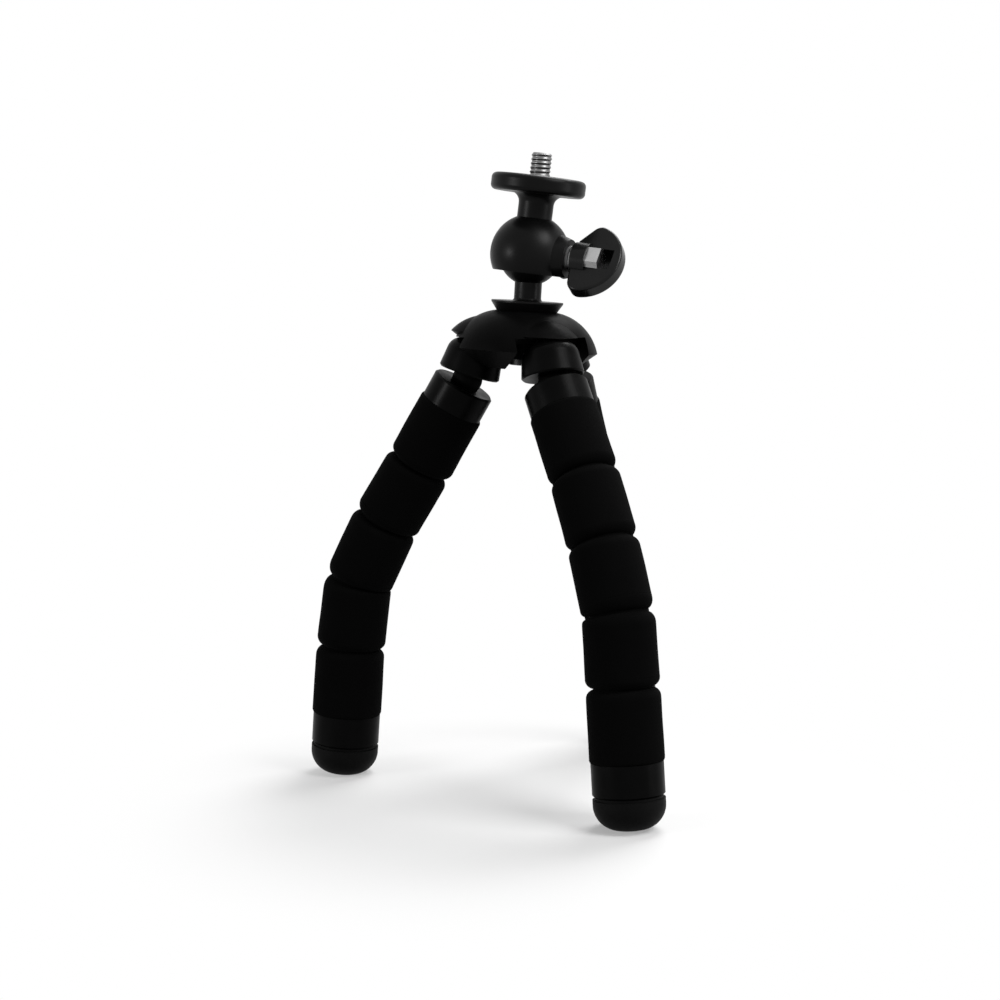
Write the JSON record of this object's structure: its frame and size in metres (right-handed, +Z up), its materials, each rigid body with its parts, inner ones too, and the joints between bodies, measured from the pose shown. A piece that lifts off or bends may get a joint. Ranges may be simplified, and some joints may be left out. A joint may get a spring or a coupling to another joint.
{
  "type": "mini tripod",
  "caption": "Small flexible tripod with bendable foam-covered legs, a ball head with a wing clamp knob and a quarter inch camera screw.",
  "frame": {"origin": "on the floor under the middle of the hub", "axes": "+Z up along the hub's axis, +X towards the clamp knob's side, -Y towards the front leg's side"},
  "size_m": [0.1145, 0.1322, 0.1971],
  "materials": {
    "satin_plastic": "satin",
    "knob_plastic": "satin",
    "foam": "matte",
    "core_rubber": "matte",
    "tip_rubber": "satin",
    "wire": "satin",
    "steel": "satin",
    "bright_steel": "polished",
    "pad": "satin"
  },
  "bodies": {
    "hub": {"hub_cap": "satin_plastic", "hub_base": "satin_plastic", "wire_anchors": "wire", "left_knuckle": "satin_plastic", "front_knuckle": "satin_plastic", "back_knuckle": "satin_plastic"},
    "stem": {"ball_stem": "satin_plastic", "stem_bolt": "steel"},
    "head": {"ball_housing": "satin_plastic", "platform": "satin_plastic", "camera_screw": "bright_steel", "friction_pad": "pad", "thread_insert": "steel"},
    "clamp_slide": {"clamp_washer": "steel"},
    "clamp": {"clamp_screw": "bright_steel", "clamp_knob": "knob_plastic"},
    "left_neck": {"left_neck_core": "core_rubber"},
    "left_leg_1": {"left_collar": "satin_plastic", "left_foam_1": "foam", "left_wire_1": "wire"},
    "left_leg_2": {"left_foam_2": "foam", "left_wire_2": "wire"},
    "left_leg_3": {"left_foam_3": "foam", "left_wire_3": "wire"},
    "left_leg_4": {"left_foam_4": "foam", "left_wire_4": "wire"},
    "left_leg_5": {"left_foam_5": "foam", "left_wire_5": "wire", "left_ferrule": "satin_plastic", "left_tip": "tip_rubber"},
    "front_neck": {"front_neck_core": "core_rubber"},
    "front_leg_1": {"front_collar": "satin_plastic", "front_foam_1": "foam", "front_wire_1": "wire"},
    "front_leg_2": {"front_foam_2": "foam", "front_wire_2": "wire"},
    "front_leg_3": {"front_foam_3": "foam", "front_wire_3": "wire"},
    "front_leg_4": {"front_foam_4": "foam", "front_wire_4": "wire"},
    "front_leg_5": {"front_foam_5": "foam", "front_wire_5": "wire", "front_ferrule": "satin_plastic", "front_tip": "tip_rubber"},
    "back_neck": {"back_neck_core": "core_rubber"},
    "back_leg_1": {"back_collar": "satin_plastic", "back_foam_1": "foam", "back_wire_1": "wire"},
    "back_leg_2": {"back_foam_2": "foam", "back_wire_2": "wire"},
    "back_leg_3": {"back_foam_3": "foam", "back_wire_3": "wire"},
    "back_leg_4": {"back_foam_4": "foam", "back_wire_4": "wire"},
    "back_leg_5": {"back_foam_5": "foam", "back_wire_5": "wire", "back_ferrule": "satin_plastic", "back_tip": "tip_rubber"}
  },
  "joints": [
    {"name": "head_pan", "type": "hinge", "parent": "hub", "child": "stem", "pos_m": [-0.00024, 0, 0.14861], "axis": [0.0558, 0, 0.9984], "continuous": true},
    {"name": "head_tilt", "type": "hinge", "parent": "stem", "child": "head", "pos_m": [0.00074, 0, 0.16608], "axis": [0, 1, 0], "range_deg": [-27.7, 20.3]},
    {"name": "clamp_travel", "type": "slide", "parent": "head", "child": "clamp_slide", "axis": [0.8997, -0.4226, -0.1089], "range_m": [0, 0.00081]},
    {"name": "clamp_turn", "type": "hinge", "parent": "clamp_slide", "child": "clamp", "pos_m": [0.00074, 0, 0.16608], "axis": [0.8997, -0.4226, -0.1089], "range_deg": [0, 360]},
    {"name": "left_swing", "type": "hinge", "parent": "hub", "child": "left_neck", "pos_m": [-0.0187, 0.00164, 0.1275], "axis": [0.9516, -0.0833, -0.2957], "range_deg": [-8, 8]},
    {"name": "left_spread", "type": "hinge", "parent": "left_neck", "child": "left_leg_1", "pos_m": [-0.0187, 0.00164, 0.1275], "axis": [0.2605, 0.9655, 0], "range_deg": [-18, 5]},
    {"name": "left_bend_1", "type": "hinge", "parent": "left_leg_1", "child": "left_leg_2", "pos_m": [-0.03396, 0.00575, 0.10013], "axis": [0.2605, 0.9655, 0], "range_deg": [-21.5, 18.5]},
    {"name": "left_bend_2", "type": "hinge", "parent": "left_leg_2", "child": "left_leg_3", "pos_m": [-0.0448, 0.00868, 0.0818], "axis": [-0.2605, -0.9655, 0], "range_deg": [-25.6, 14.4]},
    {"name": "left_bend_3", "type": "hinge", "parent": "left_leg_3", "child": "left_leg_4", "pos_m": [-0.05387, 0.01113, 0.06246], "axis": [0.2605, 0.9655, 0], "range_deg": [-1.6, 38.4]},
    {"name": "left_bend_4", "type": "hinge", "parent": "left_leg_4", "child": "left_leg_5", "pos_m": [-0.05658, 0.01186, 0.04115], "axis": [-0.2605, -0.9655, 0], "range_deg": [-23.6, 16.4]},
    {"name": "front_swing", "type": "hinge", "parent": "hub", "child": "front_neck", "pos_m": [0.00793, -0.01702, 0.1275], "axis": [-0.4037, 0.8658, -0.2957], "range_deg": [-8, 8]},
    {"name": "front_spread", "type": "hinge", "parent": "front_neck", "child": "front_leg_1", "pos_m": [0.00793, -0.01702, 0.1275], "axis": [-0.859, -0.512, 0], "range_deg": [-18, 5]},
    {"name": "front_bend_1", "type": "hinge", "parent": "front_leg_1", "child": "front_leg_2", "pos_m": [0.01677, -0.03183, 0.10103], "axis": [-0.859, -0.512, 0], "range_deg": [-15.81, 24.19]},
    {"name": "front_bend_2", "type": "hinge", "parent": "front_leg_2", "child": "front_leg_3", "pos_m": [0.02209, -0.04076, 0.0822], "axis": [0.859, 0.512, 0], "range_deg": [-25.4, 14.6]},
    {"name": "front_bend_3", "type": "hinge", "parent": "front_leg_3", "child": "front_leg_4", "pos_m": [0.02648, -0.04812, 0.06249], "axis": [-0.859, -0.512, 0], "range_deg": [-3.7, 36.3]},
    {"name": "front_bend_4", "type": "hinge", "parent": "front_leg_4", "child": "front_leg_5", "pos_m": [0.02786, -0.05044, 0.04116], "axis": [0.859, 0.512, 0], "range_deg": [-20.7, 19.3]},
    {"name": "back_swing", "type": "hinge", "parent": "hub", "child": "back_neck", "pos_m": [0.01077, 0.01538, 0.1275], "axis": [-0.5479, -0.7825, -0.2957], "range_deg": [-8, 8]},
    {"name": "back_spread", "type": "hinge", "parent": "back_neck", "child": "back_leg_1", "pos_m": [0.01077, 0.01538, 0.1275], "axis": [0.8712, -0.4909, 0], "range_deg": [-18, 5]},
    {"name": "back_bend_1", "type": "hinge", "parent": "back_leg_1", "child": "back_leg_2", "pos_m": [0.01714, 0.02669, 0.09869], "axis": [0.8712, -0.4909, 0], "range_deg": [-25.74, 14.26]},
    {"name": "back_bend_2", "type": "hinge", "parent": "back_leg_2", "child": "back_leg_3", "pos_m": [0.02242, 0.03606, 0.08007], "axis": [-0.8712, 0.4909, 0], "range_deg": [-21.8, 18.2]},
    {"name": "back_bend_3", "type": "hinge", "parent": "back_leg_3", "child": "back_leg_4", "pos_m": [0.02741, 0.04491, 0.06112], "axis": [0.8712, -0.4909, 0], "range_deg": [-12.5, 27.5]},
    {"name": "back_bend_4", "type": "hinge", "parent": "back_leg_4", "child": "back_leg_5", "pos_m": [0.03114, 0.05153, 0.04101], "axis": [-0.8712, 0.4909, 0], "range_deg": [-29.8, 10.2]}
  ],
  "couplings": [
    {"joint": "clamp_travel", "follows": "clamp_turn", "m_per_rad": 0.00012732}
  ]
}
